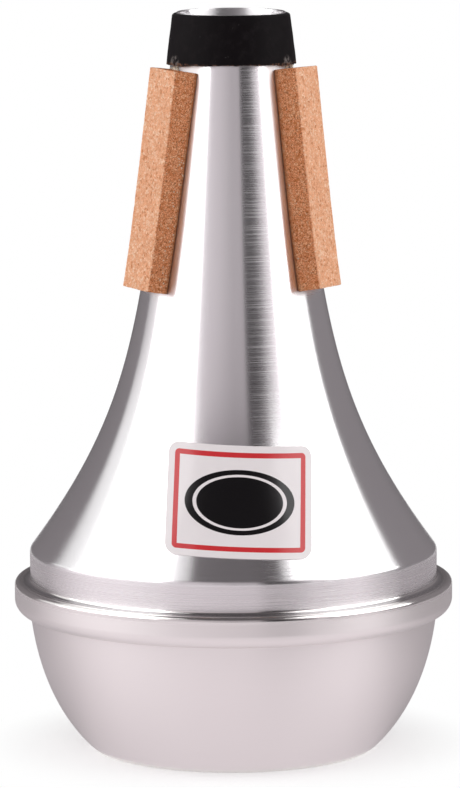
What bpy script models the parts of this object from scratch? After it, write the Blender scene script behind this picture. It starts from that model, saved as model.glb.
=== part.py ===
"""Straight mute for a bass trombone.

Two aluminium spinnings, a flared cone and a bowl, are joined by a bead that the
bowl's rim is rolled into, over the curled foot of the cone. The neck is open and
wears a rubber collar under its rim. Three cork strips wedge the mute in the throat
of a bell, and leave slots between them for the air.

Lengths are in metres and +Z is up. The origin is the centre of the flat base,
and -Y is the front, where the label is.
"""

import math

import bmesh
import bpy
from mathutils import Matrix, Vector

MM = 0.001

# Sheet and clearance
SHEET = 1.0 * MM
FIT_GAP = 0.3 * MM

# How finely round shapes are divided
FLATS = 60
FLARE_STEPS = 15
BOWL_STEPS = 8
ROUND_STEPS = 4
CURL_STEPS = 3
CORNER_STEPS = 2
MEASURING_STEPS = 200
WELD_DISTANCE = 0.01 * MM
SHARP_EDGE = math.radians(30)

# Bowl, from its flat base up to the crease under the bead
BASE_FLAT_RADIUS = 47.6 * MM
BASE_CORNER_ROUND = 2.5 * MM
BASE_CORNER_TURN = math.radians(43)
BOWL_HEIGHT = 47.0 * MM
BOWL_RIM_LEAN = math.radians(6)
BOWL_FOOT_PULL = 15.0 * MM
BOWL_RIM_PULL = 20.3 * MM

# Bead rolled from the bowl's rim
BEAD_HEIGHT = 12.3 * MM
BEAD_LEDGE = 0.7 * MM
BEAD_FOOT_ROUND = 4.6 * MM
BEAD_TOP_ROUND = 3.1 * MM
BEAD_LIP_TURN = math.radians(50)

# Cone, from the curled foot of its skirt up to the rim of its neck
SKIRT_RADIUS = 69.7 * MM
SKIRT_STRAIGHT = 8.3 * MM
SKIRT_TOP_ROUND = 3.0 * MM
SKIRT_CURL_END = math.radians(-25)
FLARE_SLOPE = math.radians(53.7)
FLARE_FOOT_PULL = 64.3 * MM
FLARE_NECK_PULL = 103.8 * MM
CONE_RISE = 184.5 * MM
NECK_RADIUS = 18.4 * MM
NECK_TAPER = 0.131

# Rubber collar round the neck, just under its rim
RIM_PROUD = 0.5 * MM
COLLAR_WALL = 1.15 * MM
COLLAR_TOP_FLAT = 0.15 * MM
COLLAR_DEPTH = 16.3 * MM

# Cork strips, glued along the neck just under the collar
STRIP_WIDTH = 16.0 * MM
STRIP_THICKNESS = 7.0 * MM
STRIP_LENGTH = 74.2 * MM
STRIP_COLLAR_GAP = 2.0 * MM
STRIP_LEAN = math.radians(1.6)
STRIP_BENDS = 7
STRIPS = (
    ("cork_strip_left", math.radians(-60), 0.2 * MM),
    ("cork_strip_right", math.radians(60), -0.2 * MM),
    ("cork_strip_rear", math.radians(180), 0.0 * MM),
)

# Self-adhesive label on the front of the flare
LABEL_WIDTH = 50.0 * MM
LABEL_HEIGHT = 40.0 * MM
LABEL_THICKNESS = 0.25 * MM
LABEL_CORNER_ROUND = 4.0 * MM
LABEL_RISE = 28.0 * MM
LABEL_TILT = math.radians(-3)
LABEL_COLUMNS = 14
LABEL_ROWS = 6
LABEL_CORNER_ROWS = 3

# Heights and radii that follow from the sizes above
BEAD_RADIUS = SKIRT_RADIUS + BEAD_LEDGE + BEAD_FOOT_ROUND
BEAD_TOP_Z = BOWL_HEIGHT + BEAD_HEIGHT
BEAD_FOOT_CENTRE = (BEAD_RADIUS - BEAD_FOOT_ROUND, BOWL_HEIGHT + BEAD_FOOT_ROUND)
SKIRT_ROUND_Z = BEAD_TOP_Z + SKIRT_STRAIGHT
NECK_RIM_Z = SKIRT_ROUND_Z + CONE_RISE
COLLAR_TOP_Z = NECK_RIM_Z - RIM_PROUD
COLLAR_FOOT_Z = COLLAR_TOP_Z - COLLAR_DEPTH

UP = math.radians(90)
DOWN = math.radians(-90)


def arc(centre, radius, start, end, steps):
    """Points of (radius, height) on a round, from one angle to another."""
    points = []
    for step in range(steps + 1):
        angle = start + (end - start) * step / steps
        points.append((centre[0] + radius * math.cos(angle), centre[1] + radius * math.sin(angle)))
    return points


def sweep(start, start_pull, end_pull, end, steps):
    """Points of (radius, height) on a smooth curve led by two pulls."""
    points = []
    for step in range(steps + 1):
        t = step / steps
        a = (1 - t) ** 3
        b = 3 * t * (1 - t) ** 2
        c = 3 * t * t * (1 - t)
        d = t ** 3
        radius = a * start[0] + b * (start[0] + start_pull[0]) + c * (end[0] + end_pull[0]) + d * end[0]
        height = a * start[1] + b * (start[1] + start_pull[1]) + c * (end[1] + end_pull[1]) + d * end[1]
        points.append((radius, height))
    return points


def flare_outline(steps):
    """Outside of the flare, from the rim of the neck down to the skirt's round."""
    run = math.hypot(NECK_TAPER, 1.0)
    neck_pull = (FLARE_NECK_PULL * NECK_TAPER / run, -FLARE_NECK_PULL / run)
    foot_pull = (-FLARE_FOOT_PULL * math.cos(FLARE_SLOPE), FLARE_FOOT_PULL * math.sin(FLARE_SLOPE))
    foot = skirt_round(1)[0]
    return sweep((NECK_RADIUS, NECK_RIM_Z), neck_pull, foot_pull, foot, steps)


def skirt_round(steps):
    """Round between the flare and the straight skirt, from the flare down."""
    centre = (SKIRT_RADIUS - SKIRT_TOP_ROUND, SKIRT_ROUND_Z)
    return arc(centre, SKIRT_TOP_ROUND, UP - FLARE_SLOPE, 0.0, steps)


def outline_at_height(height):
    """Outside radius of the flare at a height, and how fast it widens downwards."""
    points = flare_outline(MEASURING_STEPS)
    for upper, lower in zip(points, points[1:]):
        if lower[1] <= height:
            break
    widening = (lower[0] - upper[0]) / (upper[1] - lower[1])
    return upper[0] + widening * (upper[1] - height), widening


def outline_from_foot(distance):
    """Point and outward direction on the flare, at a distance up from its foot."""
    points = flare_outline(MEASURING_STEPS)[::-1]
    travelled = 0.0
    for lower, upper in zip(points, points[1:]):
        span = math.hypot(upper[0] - lower[0], upper[1] - lower[1])
        if travelled + span >= distance:
            break
        travelled += span
    share = (distance - travelled) / span
    along = ((upper[0] - lower[0]) / span, (upper[1] - lower[1]) / span)
    point = (lower[0] + along[0] * share * span, lower[1] + along[1] * share * span)
    return point, (along[1], -along[0])


def cone_outline():
    """Outside of the cone, from the rim of the neck down to the foot's curl."""
    curl_radius = BEAD_FOOT_ROUND - SHEET - FIT_GAP - SHEET
    foot_z = BEAD_FOOT_CENTRE[1] - curl_radius
    outline = flare_outline(FLARE_STEPS)[:-1] + skirt_round(CORNER_STEPS)
    outline.append((SKIRT_RADIUS, foot_z))
    outline += arc(BEAD_FOOT_CENTRE, curl_radius, DOWN, SKIRT_CURL_END, CURL_STEPS)
    return outline


def bowl_outline():
    """Outside of the bowl, from the bead's lip over the bead down to the base."""
    lip_radius = SKIRT_RADIUS + FIT_GAP
    top_centre = (BEAD_RADIUS - BEAD_TOP_ROUND, BEAD_TOP_Z - BEAD_TOP_ROUND)
    lip_round = (top_centre[0] - lip_radius) / math.sin(BEAD_LIP_TURN)
    lip_centre = (top_centre[0], BEAD_TOP_Z - lip_round)
    outline = arc(lip_centre, lip_round, UP + BEAD_LIP_TURN, UP, CORNER_STEPS)
    outline += arc(top_centre, BEAD_TOP_ROUND, UP, 0.0, ROUND_STEPS)[1:]
    outline += arc(BEAD_FOOT_CENTRE, BEAD_FOOT_ROUND, 0.0, DOWN, ROUND_STEPS)

    crease = (SKIRT_RADIUS, BOWL_HEIGHT)
    corner_centre = (BASE_FLAT_RADIUS, BASE_CORNER_ROUND)
    corner = arc(corner_centre, BASE_CORNER_ROUND, DOWN + BASE_CORNER_TURN, DOWN, CORNER_STEPS)
    rim_pull = (-BOWL_RIM_PULL * math.sin(BOWL_RIM_LEAN), -BOWL_RIM_PULL * math.cos(BOWL_RIM_LEAN))
    foot_pull = (
        BOWL_FOOT_PULL * math.cos(BASE_CORNER_TURN),
        BOWL_FOOT_PULL * math.sin(BASE_CORNER_TURN),
    )
    outline += sweep(crease, rim_pull, foot_pull, corner[0], BOWL_STEPS)[:-1]
    outline += corner
    outline.append((0.0, 0.0))
    return outline


def collar_section():
    """Closed section of the collar: across its top, down outside, and up inside."""
    shoulder_round = COLLAR_WALL - COLLAR_TOP_FLAT
    shoulder_z = COLLAR_TOP_Z - shoulder_round
    neck_at_shoulder, widening = outline_at_height(shoulder_z)
    side_lean = math.atan(widening)
    side_at_shoulder = neck_at_shoulder + FIT_GAP + COLLAR_WALL
    shoulder_centre = (side_at_shoulder - shoulder_round / math.cos(side_lean), shoulder_z)
    neck_at_foot = outline_at_height(COLLAR_FOOT_Z)[0]

    section = [(outline_at_height(COLLAR_TOP_Z)[0] + FIT_GAP, COLLAR_TOP_Z)]
    section += arc(shoulder_centre, shoulder_round, UP, side_lean, ROUND_STEPS)
    section.append((neck_at_foot + FIT_GAP + COLLAR_WALL, COLLAR_FOOT_Z))
    section.append((neck_at_foot + FIT_GAP, COLLAR_FOOT_Z))
    return section


def clear_scene():
    """Remove whatever the scene holds, so that the model stands alone."""
    for item in list(bpy.data.objects):
        bpy.data.objects.remove(item, do_unlink=True)


def new_collection(name):
    """A collection under the scene's own."""
    collection = bpy.data.collections.new(name)
    bpy.context.scene.collection.children.link(collection)
    return collection


def new_material(name, colour, roughness, metallic):
    """A plain Principled material."""
    material = bpy.data.materials.new(name)
    material.use_nodes = True
    shader = material.node_tree.nodes["Principled BSDF"]
    shader.inputs["Base Color"].default_value = (*colour, 1.0)
    shader.inputs["Roughness"].default_value = roughness
    shader.inputs["Metallic"].default_value = metallic
    return material


def new_object(name, mesh, collection, material=None):
    """An object in a collection, with its material."""
    item = bpy.data.objects.new(name, mesh)
    collection.objects.link(item)
    if material:
        mesh.materials.append(material)
    return item


def turn(name, outline, collection, material=None, closed=False):
    """A piece turned round the Z axis from its outline at +X."""
    count = len(outline)
    edges = [(index, index + 1) for index in range(count - 1)]
    if closed:
        edges.append((count - 1, 0))
    mesh = bpy.data.meshes.new(name)
    mesh.from_pydata([(radius, 0.0, height) for radius, height in outline], edges, [])
    item = new_object(name, mesh, collection, material)
    screw = item.modifiers.new("Turn", "SCREW")
    screw.axis = "Z"
    screw.steps = FLATS
    screw.render_steps = FLATS
    screw.use_merge_vertices = True
    screw.merge_threshold = WELD_DISTANCE
    screw.use_smooth_shade = True
    return item


def add_sheet(item, thickness, offset):
    """Thickness on an open surface, inwards for -1 and outwards for 1."""
    solidify = item.modifiers.new("Sheet", "SOLIDIFY")
    solidify.thickness = thickness
    solidify.offset = offset
    solidify.use_even_offset = True
    solidify.use_rim = True


def shade_round(mesh):
    """Smooth shading that keeps the crisp edges."""
    mesh.shade_smooth()
    mesh.set_sharp_from_angle(angle=SHARP_EDGE)


def strip_side(drop):
    """Side view of a strip, as (radius, height): up its glued side, down its outer face."""
    top_z = COLLAR_FOOT_Z - STRIP_COLLAR_GAP - drop
    foot_z = top_z - STRIP_LENGTH
    glued = []
    outer = []
    for bend in range(STRIP_BENDS + 1):
        height = foot_z + (top_z - foot_z) * bend / STRIP_BENDS
        radius, widening = outline_at_height(height)
        outward = Vector((1.0, widening)).normalized()
        surface = Vector((radius, height))
        glued.append(surface - outward * STRIP_THICKNESS / 2)
        outer.append(surface + outward * (FIT_GAP + STRIP_THICKNESS))
    return glued + outer[::-1]


def make_strip(name, azimuth, drop, cone_cutter, collection, material):
    """One cork strip: a bar bent to the flare, hollowed to sit round it."""
    side = strip_side(drop)
    half = STRIP_WIDTH / 2
    work = bmesh.new()
    ring = [work.verts.new((-half, -point.x, point.y)) for point in side]
    face = work.faces.new(ring)
    pushed = bmesh.ops.extrude_face_region(work, geom=[face])
    for item in pushed["geom"]:
        if isinstance(item, bmesh.types.BMVert):
            item.co.x += STRIP_WIDTH
    bmesh.ops.recalc_face_normals(work, faces=work.faces)

    middle = Vector((0.0, 0.0, (side[0].y + side[STRIP_BENDS].y) / 2))
    lean = Matrix.Rotation(STRIP_LEAN, 4, "Y")
    place = Matrix.Translation(middle) @ lean @ Matrix.Translation(-middle)
    bmesh.ops.transform(work, matrix=Matrix.Rotation(azimuth, 4, "Z") @ place, verts=work.verts)
    mesh = bpy.data.meshes.new(name)
    work.to_mesh(mesh)
    work.free()

    strip = new_object(name, mesh, collection, material)
    hollow = strip.modifiers.new("Seat on the cone", "BOOLEAN")
    hollow.operation = "DIFFERENCE"
    hollow.solver = "EXACT"
    hollow.object = cone_cutter
    return strip


def make_cone_cutter(collection):
    """The cone as a full body, one clearance larger, to hollow the strips with."""
    outline = []
    for radius, height in flare_outline(FLARE_STEPS):
        outline.append((radius + FIT_GAP, height))
    top = outline[0][1] + STRIP_THICKNESS
    foot = outline[-1][1] - STRIP_THICKNESS
    outline = [(0.0, top), (outline[0][0], top)] + outline + [(outline[-1][0], foot), (0.0, foot)]
    cutter = turn("cone_cutter", outline, collection)
    cutter.hide_render = True
    cutter.display_type = "WIRE"
    return cutter


def label_rows():
    """Heights of the label's rows about its middle, each with half its width."""
    half_height = LABEL_HEIGHT / 2
    half_width = LABEL_WIDTH / 2
    straight = half_height - LABEL_CORNER_ROUND
    lower = []
    for step in range(LABEL_CORNER_ROWS):
        angle = UP * step / LABEL_CORNER_ROWS
        height = -straight - LABEL_CORNER_ROUND * math.cos(angle)
        lower.append((height, half_width - LABEL_CORNER_ROUND * (1 - math.sin(angle))))
    middle = []
    for step in range(LABEL_ROWS + 1):
        middle.append((-straight + 2 * straight * step / LABEL_ROWS, half_width))
    upper = [(-height, width) for height, width in lower[::-1]]
    return lower + middle + upper


def on_flare(across, along):
    """Place a point of the flat label on the flare, one clearance proud of it."""
    turned_across = across * math.cos(LABEL_TILT) - along * math.sin(LABEL_TILT)
    turned_along = across * math.sin(LABEL_TILT) + along * math.cos(LABEL_TILT)
    (radius, height), outward = outline_from_foot(LABEL_RISE + turned_along)
    angle = turned_across / radius
    radius += outward[0] * FIT_GAP
    height += outward[1] * FIT_GAP
    return (radius * math.sin(angle), -radius * math.cos(angle), height)


def make_label(collection, material):
    """A rounded rectangle of film laid on the flare."""
    rows = label_rows()
    half_grid = LABEL_HEIGHT / 2
    row_height = LABEL_HEIGHT / (len(rows) - 1)
    work = bmesh.new()
    bmesh.ops.create_grid(work, x_segments=LABEL_COLUMNS, y_segments=len(rows) - 1, size=half_grid)
    for vertex in work.verts:
        along, half_width = rows[round((vertex.co.y + half_grid) / row_height)]
        vertex.co = on_flare(vertex.co.x / half_grid * half_width, along)
    mesh = bpy.data.meshes.new("label")
    work.to_mesh(mesh)
    work.free()
    label = new_object("label", mesh, collection, material)
    add_sheet(label, LABEL_THICKNESS, 1)
    shade_round(mesh)


def build():
    """Model every piece of the mute."""
    clear_scene()
    pieces = new_collection("bass_trombone_straight_mute")
    cutters = new_collection("cutters")

    spun = new_material("brushed_aluminium", (0.90, 0.885, 0.895), 0.30, 1.0)
    satin = new_material("satin_aluminium", (0.80, 0.76, 0.77), 0.42, 1.0)
    rubber = new_material("black_rubber", (0.012, 0.011, 0.012), 0.65, 0.0)
    cork = new_material("cork", (0.68, 0.34, 0.20), 0.85, 0.0)
    film = new_material("label_film", (0.85, 0.84, 0.85), 0.30, 0.0)

    cone = turn("cone_shell", cone_outline(), pieces, spun)
    add_sheet(cone, SHEET, -1)
    bowl = turn("base_bowl", bowl_outline(), pieces, satin)
    add_sheet(bowl, SHEET, -1)
    turn("neck_collar", collar_section(), pieces, rubber, closed=True)

    cone_cutter = make_cone_cutter(cutters)
    for name, azimuth, drop in STRIPS:
        make_strip(name, azimuth, drop, cone_cutter, pieces, cork)
    make_label(pieces, film)


build()
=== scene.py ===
# %% [markdown]
# # A straight mute for a bass trombone
# Two spun aluminium shells, a rubber collar, three cork strips and a label make up this mute. The
# solids are packed at their real size already. Here each of them is made again at a finer grain, in
# the same place, and gets its finish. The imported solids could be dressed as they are, but their
# round pieces have sixty flats, and bright metal shows every flat in its reflections.

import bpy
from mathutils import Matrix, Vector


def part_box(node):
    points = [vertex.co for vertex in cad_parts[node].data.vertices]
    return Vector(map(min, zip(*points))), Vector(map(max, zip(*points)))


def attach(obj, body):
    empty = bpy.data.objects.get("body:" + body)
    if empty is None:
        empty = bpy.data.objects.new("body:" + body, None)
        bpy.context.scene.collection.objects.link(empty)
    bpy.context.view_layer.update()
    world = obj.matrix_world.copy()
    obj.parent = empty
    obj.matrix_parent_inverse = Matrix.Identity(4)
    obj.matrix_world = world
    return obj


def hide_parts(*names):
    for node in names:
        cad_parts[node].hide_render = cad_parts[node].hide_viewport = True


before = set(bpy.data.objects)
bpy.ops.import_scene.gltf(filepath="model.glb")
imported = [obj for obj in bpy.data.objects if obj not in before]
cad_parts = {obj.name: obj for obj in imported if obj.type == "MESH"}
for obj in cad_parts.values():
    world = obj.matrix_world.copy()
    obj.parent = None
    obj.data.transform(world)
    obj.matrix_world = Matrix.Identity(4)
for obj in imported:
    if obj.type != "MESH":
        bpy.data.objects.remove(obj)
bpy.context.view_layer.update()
print("solids:", ", ".join(sorted(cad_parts)))

# %% Bring in the tools
import bisect
import math
import random

import bmesh
import bpy
from mathutils import Matrix, Vector, noise

MM = 0.001
UP = math.radians(90)
DOWN = math.radians(-90)

# %% [markdown]
# ## The camera
# The camera looks a little down on the mute from the front, from far away and through a long lens, so
# that the round shapes hardly widen towards it. It could be placed by hand in the viewport, but then
# nobody could tell where it stands. Here it is aimed at a point on the mute's axis from a distance
# and two angles, which are easy to read and to change.

# %% Place the camera
CAMERA_AIM = Vector((0.0, 0.0, 121.455 * MM))
CAMERA_DISTANCE = 1773.23 * MM
CAMERA_PITCH = math.radians(8.4313)
CAMERA_AZIMUTH = math.radians(-2.4)
CAMERA_ROLL = math.radians(0.236)
PHOTO_HEIGHT = 788
FOCAL_LENGTH_IN_PIXELS = 5193.2
SIDE_OFFSET_IN_PIXELS = 2.695
SENSOR = 36.0

lens = bpy.data.cameras.new("camera")
lens.sensor_width = SENSOR
lens.lens = FOCAL_LENGTH_IN_PIXELS / PHOTO_HEIGHT * SENSOR
lens.shift_x = -SIDE_OFFSET_IN_PIXELS / PHOTO_HEIGHT
lens.clip_start = 0.05
lens.clip_end = 50.0


def place_object(name, data):
    """An object in the scene."""
    item = bpy.data.objects.new(name, data)
    bpy.context.scene.collection.objects.link(item)
    return item


def direction(azimuth, elevation=0.0):
    """Unit vector from the mute: azimuth 0 is the front, 90 degrees is the right."""
    flat = math.cos(elevation)
    return Vector((math.sin(azimuth) * flat, -math.cos(azimuth) * flat, math.sin(elevation)))


camera = place_object("camera", lens)
towards_camera = direction(CAMERA_AZIMUTH, CAMERA_PITCH)
aim = (-towards_camera).to_track_quat("-Z", "Y").to_matrix().to_4x4()
camera.matrix_world = (
    Matrix.Translation(CAMERA_AIM + towards_camera * CAMERA_DISTANCE) @ aim @ Matrix.Rotation(-CAMERA_ROLL, 4, "Z")
)
bpy.context.scene.camera = camera
print("lens:", round(lens.lens, 1), "mm, camera at", [round(value, 3) for value in camera.location])

# %% [markdown]
# ## Small helpers for materials
# A finish is a little network of nodes. They could be wired by hand in the shader editor, but in a
# script the same few steps come again and again: add a node, set its options, and plug in what feeds
# it. So each step gets a short helper here, and the finishes further down read like recipes.

# %% Node helpers


def feed(tree, node, inputs):
    """Give each of a node's inputs a value, or the socket that feeds it."""
    for name, value in inputs.items():
        if isinstance(value, bpy.types.NodeSocket):
            tree.links.new(value, node.inputs[name])
        else:
            node.inputs[name].default_value = value


def add(tree, kind, inputs=None, **settings):
    """Add a node, set its options and feed its inputs."""
    made = tree.nodes.new(kind)
    for name, value in settings.items():
        setattr(made, name, value)
    feed(tree, made, inputs or {})
    return made


def maths(tree, operation, first, second=0.0):
    """One sum on one or two values."""
    return add(tree, "ShaderNodeMath", {0: first, 1: second}, operation=operation).outputs[0]


def times(tree, first, second):
    """One value times another."""
    return maths(tree, "MULTIPLY", first, second)


def vector_value(tree, operation, first, second=(0.0, 0.0, 0.0)):
    """A number worked out from vectors, such as a length or a distance."""
    return add(tree, "ShaderNodeVectorMath", {0: first, 1: second}, operation=operation).outputs["Value"]


def span(tree, value, low, high, to_low=0.0, to_high=1.0, smooth=True):
    """Carry a value from one range to another, and hold it at the ends."""
    kind = "SMOOTHSTEP" if smooth else "LINEAR"
    inputs = {"Value": value, "From Min": low, "From Max": high, "To Min": to_low, "To Max": to_high}
    return add(tree, "ShaderNodeMapRange", inputs, interpolation_type=kind, clamp=True).outputs["Result"]


def fade(tree, value, low, high):
    """1 below a range of values and 0 above it."""
    return span(tree, value, low, high, 1.0, 0.0)


def band(tree, value, low, high, softness):
    """1 between two values and 0 outside them, with soft edges."""
    rise = span(tree, value, low - softness, low + softness)
    return times(tree, rise, fade(tree, value, high - softness, high + softness))


def mix_colour(tree, share, first, second, blend="MIX"):
    """Go from one colour to another."""
    first, second = ((*colour, 1.0) if isinstance(colour, tuple) else colour for colour in (first, second))
    inputs = {0: share, 6: first, 7: second}
    return add(tree, "ShaderNodeMix", inputs, data_type="RGBA", blend_type=blend).outputs[2]


def new_material(name):
    """A material, its node tree and its Principled shader."""
    material = bpy.data.materials.new(name)
    material.use_nodes = True
    tree = material.node_tree
    return material, tree, tree.nodes["Principled BSDF"]


# %% Helpers for places and grain


def object_place(tree):
    """Where a point of the piece is, in metres."""
    return add(tree, "ShaderNodeTexCoord").outputs["Object"]


def parts_of(tree, vector):
    """The X, Y and Z of a vector."""
    return add(tree, "ShaderNodeSeparateXYZ", {0: vector}).outputs


def flat_length(tree, first, second):
    """Length of a flat vector, such as the distance from the axis."""
    return vector_value(tree, "LENGTH", add(tree, "ShaderNodeCombineXYZ", {0: first, 1: second}).outputs[0])


def stored(tree, name, output="Fac"):
    """A value that is stored at the points of the mesh."""
    return add(tree, "ShaderNodeAttribute", attribute_name=name).outputs[output]


def noise_at(tree, place, per_metre, detail=2.0, roughness=0.5, distortion=0.0):
    """Soft noise from 0 to 1."""
    names = ("Vector", "Scale", "Detail", "Roughness", "Distortion")
    inputs = dict(zip(names, (place, per_metre, detail, roughness, distortion)))
    return add(tree, "ShaderNodeTexNoise", inputs).outputs["Fac"]


def relief(tree, height, depth):
    """Small bumps and hollows for the light to catch."""
    return add(tree, "ShaderNodeBump", {"Height": height, "Distance": depth, "Strength": 1.0}).outputs[0]


# %% [markdown]
# ## The room
# Bright metal has hardly a colour of its own: it shows the room. A photographer stands such a piece
# on a white table between two large soft lamps and puts dark cards where its edges should be drawn.
# An environment picture could stand in for all that, but a few lamps and cards say plainly what does
# what, and each can be moved. The lamps stand left and right of the mute and reach high.

# %% Light from the lamps and the sky
LAMP_AZIMUTH = math.radians(72)
LAMP_DISTANCE = 0.95
LAMP_WIDTH = 1.36
LAMP_HEIGHT = 2.0
LAMP_CLEARANCE = 0.01
LAMP_RADIANCE = 1.45
SKY_FILL = 0.34


def soft_lamp(name, azimuth, radiance):
    """A large upright lamp that faces the mute from one side."""
    light = bpy.data.lights.new(name, "AREA")
    light.shape = "RECTANGLE"
    light.size = LAMP_WIDTH
    light.size_y = LAMP_HEIGHT
    light.energy = radiance * math.pi * LAMP_WIDTH * LAMP_HEIGHT
    lamp = place_object(name, light)
    away = direction(azimuth)
    lamp.rotation_euler = away.to_track_quat("Z", "Y").to_euler()
    lamp.location = away * LAMP_DISTANCE + Vector((0.0, 0.0, LAMP_HEIGHT / 2 + LAMP_CLEARANCE))
    lamp.visible_camera = False


soft_lamp("lamp_left", -LAMP_AZIMUTH, LAMP_RADIANCE)
soft_lamp("lamp_right", LAMP_AZIMUTH, LAMP_RADIANCE)


def seen_directly(tree):
    """1 where the eye, a mirror or clear glue sees this directly, and 0 where it only lights."""
    path = add(tree, "ShaderNodeLightPath").outputs
    mirrored = maths(tree, "MAXIMUM", path["Is Camera Ray"], path["Is Glossy Ray"])
    return maths(tree, "MAXIMUM", mirrored, path["Is Transmission Ray"])


world = bpy.data.worlds.new("sky")
bpy.context.scene.world = world
world.use_nodes = True
sky = world.node_tree
sky_level = span(sky, seen_directly(sky), 0.0, 1.0, SKY_FILL, 1.0, smooth=False)
feed(sky, sky.nodes["Background"], {"Color": (1.0, 1.0, 1.0, 1.0), "Strength": sky_level})
bpy.context.scene.view_settings.view_transform = "Standard"

# %% [markdown]
# ## The table
# The table is plain and pale. Near the mute it is an ordinary matt white that takes the mute's soft
# shadow. Further out it goes over into the white of the background, so that no edge of a table shows.
# A single flat white could be had by leaving the table out, but then the mute would float.

# %% Make the table
TABLE_SIZE = 8.0
TABLE_WHITE = 0.80
TABLE_GLOW = 0.32
TABLE_NEAR = 0.050
TABLE_FAR = 0.090


def new_object(name, mesh, material):
    """An object with one finish."""
    mesh.materials.append(material)
    return place_object(name, mesh)


def stage_object(name, mesh, material):
    """An object that belongs to the room and not to the mute."""
    item = new_object(name, mesh, material)
    return item


def table_material():
    """Matt white by the mute, going over into the white of the background."""
    material, tree, shader = new_material("table_white")
    tree.nodes.remove(shader)
    reach = vector_value(tree, "LENGTH", object_place(tree))
    far = times(tree, span(tree, reach, TABLE_NEAR, TABLE_FAR), seen_directly(tree))
    matt = add(tree, "ShaderNodeBsdfDiffuse", {"Color": (TABLE_WHITE, TABLE_WHITE, TABLE_WHITE, 1.0)})
    glow = add(tree, "ShaderNodeEmission", {"Strength": times(tree, seen_directly(tree), TABLE_GLOW)})
    near = add(tree, "ShaderNodeAddShader", {0: matt.outputs[0], 1: glow.outputs[0]})
    white = add(tree, "ShaderNodeEmission", {"Strength": 1.0})
    both = add(tree, "ShaderNodeMixShader", {0: far, 1: near.outputs[0], 2: white.outputs[0]})
    tree.links.new(both.outputs[0], tree.nodes["Material Output"].inputs["Surface"])
    return material


def finished(name, work):
    """The mesh that was built up as a bmesh."""
    mesh = bpy.data.meshes.new(name)
    work.to_mesh(mesh)
    work.free()
    return mesh


square = bmesh.new()
bmesh.ops.create_grid(square, x_segments=1, y_segments=1, size=TABLE_SIZE / 2)
stage_object("table", finished("table", square), table_material())
print("table:", TABLE_SIZE, "m square")

# %% [markdown]
# ## The cards
# Cards stand round the mute as in a studio. A grey one in front runs into a narrow black one, which
# draws the dark streak down the cone. Darker ones above it shade the flare, one hangs overhead, and
# two behind draw the edges. Two low ones stand before the lamps, and pale ones lie round the foot.
# One bent tent of card could do all this, but single cards can be moved one by one. Only metal and
# gloss see them: they are switched off for the camera, for shadows and for soft light. A card is a
# strip between two edges, and an edge is a list of places with the card's brightness there.

# %% Build a card
CARD_STEPS = 6
CARD_TINT = (1.04, 0.955, 1.0)


def card_material():
    """The cards' own brightness, as stored at their points."""
    material, tree, shader = new_material("card")
    tree.nodes.remove(shader)
    glow = add(tree, "ShaderNodeEmission", {"Color": stored(tree, "shade", "Color"), "Strength": 1.0})
    tree.links.new(glow.outputs[0], tree.nodes["Material Output"].inputs["Surface"])
    return material


def edge_points(height, stops):
    """Points along an edge, with the brightness at each. A stop is (azimuth, reach, brightness)."""
    points = []
    for start, end in zip(stops, stops[1:]):
        last = end is stops[-1]
        for step in range(CARD_STEPS + last):
            share = step / CARD_STEPS
            azimuth, reach, shade = (first + (second - first) * share for first, second in zip(start, end))
            place = direction(math.radians(azimuth)) * reach
            points.append((place + Vector((0.0, 0.0, height)), shade))
    return points


def card(name, first_edge, second_edge, material):
    """A card between two edges. An edge is (height, stops)."""
    work = bmesh.new()
    tint = work.verts.layers.float_color.new("shade")
    rows = []
    for edge in (first_edge, second_edge):
        row = []
        for place, shade in edge_points(*edge):
            vertex = work.verts.new(place)
            vertex[tint] = (*(shade * part for part in CARD_TINT), 1.0)
            row.append(vertex)
        rows.append(row)
    for index in range(len(rows[0]) - 1):
        work.faces.new((rows[0][index], rows[0][index + 1], rows[1][index + 1], rows[1][index]))
    made = stage_object(name, finished(name, work), material)
    made.visible_camera = False
    made.visible_diffuse = False
    made.visible_shadow = False
    made.visible_transmission = False


# %% Stand the cards
FRONT_STOPS = (
    (-43, 0.8), (-37, 0.64), (-30, 0.6), (-20, 0.56), (-10, 0.485), (-2, 0.42), (11, 0.42), (13, 0.15),
    (17, 0.055), (22, 0.035), (28, 0.055), (33, 0.14), (37.5, 0.31), (42, 0.54), (47, 0.85), (51, 1.1),
)
FRONT_HIGH_STOPS = (
    (-38, 0.8), (-34, 0.45), (-30, 0.25), (-24, 0.14), (-12, 0.11), (-2, 0.1), (6, 0.1), (10, 0.1),
    (14, 0.1), (18, 0.11), (21, 0.13), (24, 0.2), (27, 0.35), (30, 0.55), (33, 0.8), (36, 1.0),
)
FRONT_TOP_STOPS = (
    (-54, 0.5), (-50, 0.25), (-44, 0.14), (-36, 0.11), (-20, 0.1), (-10, 0.1), (0, 0.1), (7, 0.1),
    (14, 0.1), (20, 0.1), (25, 0.1), (30, 0.11), (34, 0.13), (38, 0.18), (42, 0.3), (45, 0.5),
)
LEFT_STOPS = ((-125, 0.21), (-140, 0.21), (-155, 0.19), (-180, 0.12))
RIGHT_FOOT_STOPS = ((89, 0.19), (115, 0.23), (140, 0.23), (180, 0.12))
RIGHT_TOP_STOPS = ((120.5, 0.22), (130, 0.23), (145, 0.22), (180, 0.12))
LOW_LEFT_STOPS = (
    (-127, 0.22), (-115, 0.5), (-105, 0.72), (-90, 0.88), (-80, 0.92), (-65, 0.8), (-52, 0.64), (-42, 0.46),
)
LOW_RIGHT_STOPS = ((44, 0.26), (54, 0.4), (64, 0.64), (72, 0.62), (82, 0.36), (92, 0.19), (104, 0.16))
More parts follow.
